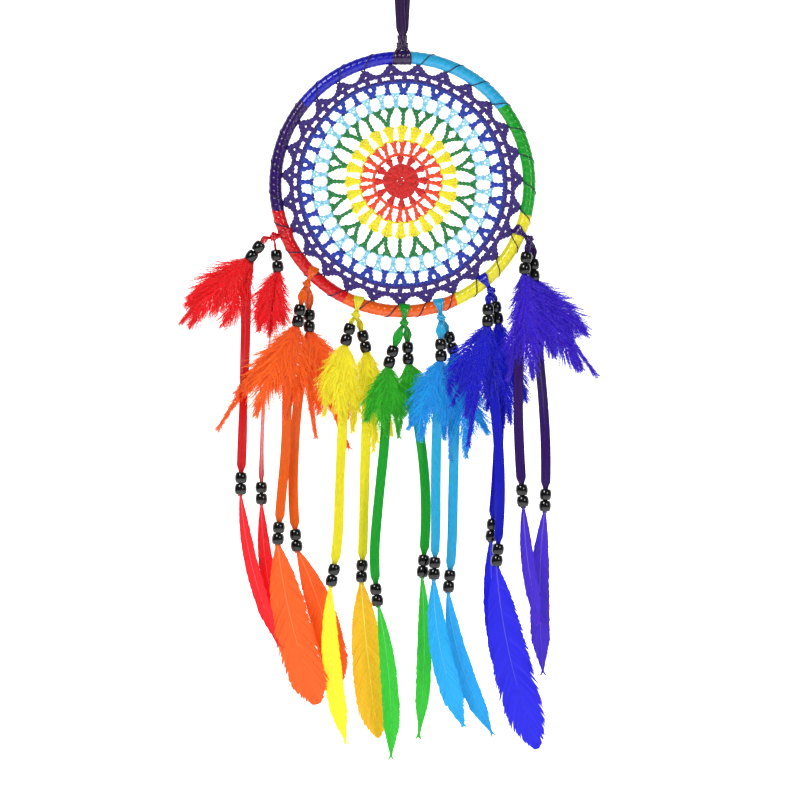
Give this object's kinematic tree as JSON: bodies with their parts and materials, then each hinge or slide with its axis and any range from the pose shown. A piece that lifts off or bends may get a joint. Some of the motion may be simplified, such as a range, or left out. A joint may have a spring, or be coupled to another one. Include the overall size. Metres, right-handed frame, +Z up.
{
  "type": "dream catcher",
  "caption": "hanging dream catcher: ribbon-wrapped ring with a crocheted rainbow mandala, and ribbons in seven colours with black beads, fluffy plumes and long feathers",
  "frame": {"origin": "inside of the hanging loop's bend, where it rests on its nail", "axes": "+Z up, +X to the viewer's right, front of the mandala faces -Y"},
  "size_m": [0.2424, 0.015, 0.531],
  "materials": {
    "satin_red": "satin ribbon, smooth with a sheen",
    "satin_orange": "satin ribbon, smooth with a sheen",
    "satin_yellow": "satin ribbon, smooth with a sheen",
    "satin_green": "satin ribbon, smooth with a sheen",
    "satin_sky": "satin ribbon, smooth with a sheen",
    "satin_blue": "satin ribbon, smooth with a sheen",
    "satin_purple": "satin ribbon, smooth with a sheen",
    "yarn_red": "twisted cotton crochet yarn",
    "yarn_orange": "twisted cotton crochet yarn",
    "yarn_yellow": "twisted cotton crochet yarn",
    "yarn_green": "twisted cotton crochet yarn",
    "yarn_sky": "twisted cotton crochet yarn",
    "yarn_blue": "twisted cotton crochet yarn",
    "yarn_purple": "twisted cotton crochet yarn",
    "feather_red": "dyed feather, soft and slightly glossy",
    "feather_orange": "dyed feather, soft and slightly glossy",
    "feather_yellow": "dyed feather, soft and slightly glossy",
    "feather_green": "dyed feather, soft and slightly glossy",
    "feather_sky": "dyed feather, soft and slightly glossy",
    "feather_blue": "dyed feather, soft and slightly glossy",
    "feather_purple": "dyed feather, soft and slightly glossy",
    "bead_black": "moulded acrylic, glossy black",
    "rattan": "plain cane",
    "lacing_cotton": "thin dark thread"
  },
  "bodies": {
    "hanging_ribbon": {"hanging_ribbon": "satin_purple"},
    "top_knot": {"lark_head_knot": "satin_purple"},
    "hoop": {"hoop_core": "rattan", "lacing_thread": "lacing_cotton", "wrap_red": "satin_red", "wrap_orange": "satin_orange", "wrap_yellow": "satin_yellow", "wrap_green": "satin_green", "wrap_sky": "satin_sky", "wrap_blue": "satin_blue", "wrap_purple": "satin_purple", "doily_red": "yarn_red", "doily_orange": "yarn_orange", "doily_yellow": "yarn_yellow", "doily_green": "yarn_green", "doily_sky": "yarn_sky", "doily_blue": "yarn_blue", "doily_purple": "yarn_purple", "tie_red": "satin_red", "tie_orange": "satin_orange", "tie_yellow": "satin_yellow", "tie_green": "satin_green", "tie_sky": "satin_sky", "tie_blue": "satin_blue", "tie_purple": "satin_purple"},
    "red_strand": {"red_ribbon_tails": "satin_red", "red_upper_beads": "bead_black", "red_plumes": "feather_red", "red_lower_beads": "bead_black", "red_quills": "feather_red"},
    "orange_strand": {"orange_ribbon_tails": "satin_orange", "orange_upper_beads": "bead_black", "orange_plumes": "feather_orange", "orange_lower_beads": "bead_black", "orange_quills": "feather_orange"},
    "yellow_strand": {"yellow_ribbon_tails": "satin_yellow", "yellow_upper_beads": "bead_black", "yellow_plumes": "feather_yellow", "yellow_lower_beads": "bead_black", "yellow_quills": "feather_yellow"},
    "green_strand": {"green_ribbon_tails": "satin_green", "green_upper_beads": "bead_black", "green_plumes": "feather_green", "green_lower_beads": "bead_black", "green_quills": "feather_green"},
    "sky_strand": {"sky_ribbon_tails": "satin_sky", "sky_upper_beads": "bead_black", "sky_plumes": "feather_sky", "sky_lower_beads": "bead_black", "sky_quills": "feather_sky"},
    "blue_strand": {"blue_ribbon_tails": "satin_blue", "blue_upper_beads": "bead_black", "blue_plumes": "feather_blue", "blue_lower_beads": "bead_black", "blue_quills": "feather_blue"},
    "purple_strand": {"purple_ribbon_tails": "satin_purple", "purple_upper_beads": "bead_black", "purple_plumes": "feather_purple", "purple_lower_beads": "bead_black", "purple_quills": "feather_purple"}
  },
  "joints": [
    {"name": "hoop_twist", "type": "hinge", "parent": "hanging_ribbon", "child": "top_knot", "pos_m": [0, 0, -0.0915], "axis": [0, 0, 1], "range_deg": [-180, 180]},
    {"name": "hoop_tilt", "type": "hinge", "parent": "top_knot", "child": "hoop", "pos_m": [0, 0, -0.1038], "axis": [1, 0, 0], "range_deg": [-25, 25]},
    {"name": "red_swing", "type": "hinge", "parent": "hoop", "child": "red_strand", "pos_m": [-0.07744, 0, -0.21149], "axis": [1, 0, 0], "range_deg": [-60, 60]},
    {"name": "orange_swing", "type": "hinge", "parent": "hoop", "child": "orange_strand", "pos_m": [-0.05743, 0, -0.2403], "axis": [1, 0, 0], "range_deg": [-60, 60]},
    {"name": "yellow_swing", "type": "hinge", "parent": "hoop", "child": "yellow_strand", "pos_m": [-0.02799, 0, -0.25878], "axis": [1, 0, 0], "range_deg": [-60, 60]},
    {"name": "green_swing", "type": "hinge", "parent": "hoop", "child": "green_strand", "pos_m": [0.00107, 0, -0.26368], "axis": [1, 0, 0], "range_deg": [-60, 60]},
    {"name": "sky_swing", "type": "hinge", "parent": "hoop", "child": "sky_strand", "pos_m": [0.02332, 0, -0.26032], "axis": [1, 0, 0], "range_deg": [-60, 60]},
    {"name": "blue_swing", "type": "hinge", "parent": "hoop", "child": "blue_strand", "pos_m": [0.05357, 0, -0.24423], "axis": [1, 0, 0], "range_deg": [-60, 60]},
    {"name": "purple_swing", "type": "hinge", "parent": "hoop", "child": "purple_strand", "pos_m": [0.07651, 0, -0.21329], "axis": [1, 0, 0], "range_deg": [-60, 60]}
  ]
}
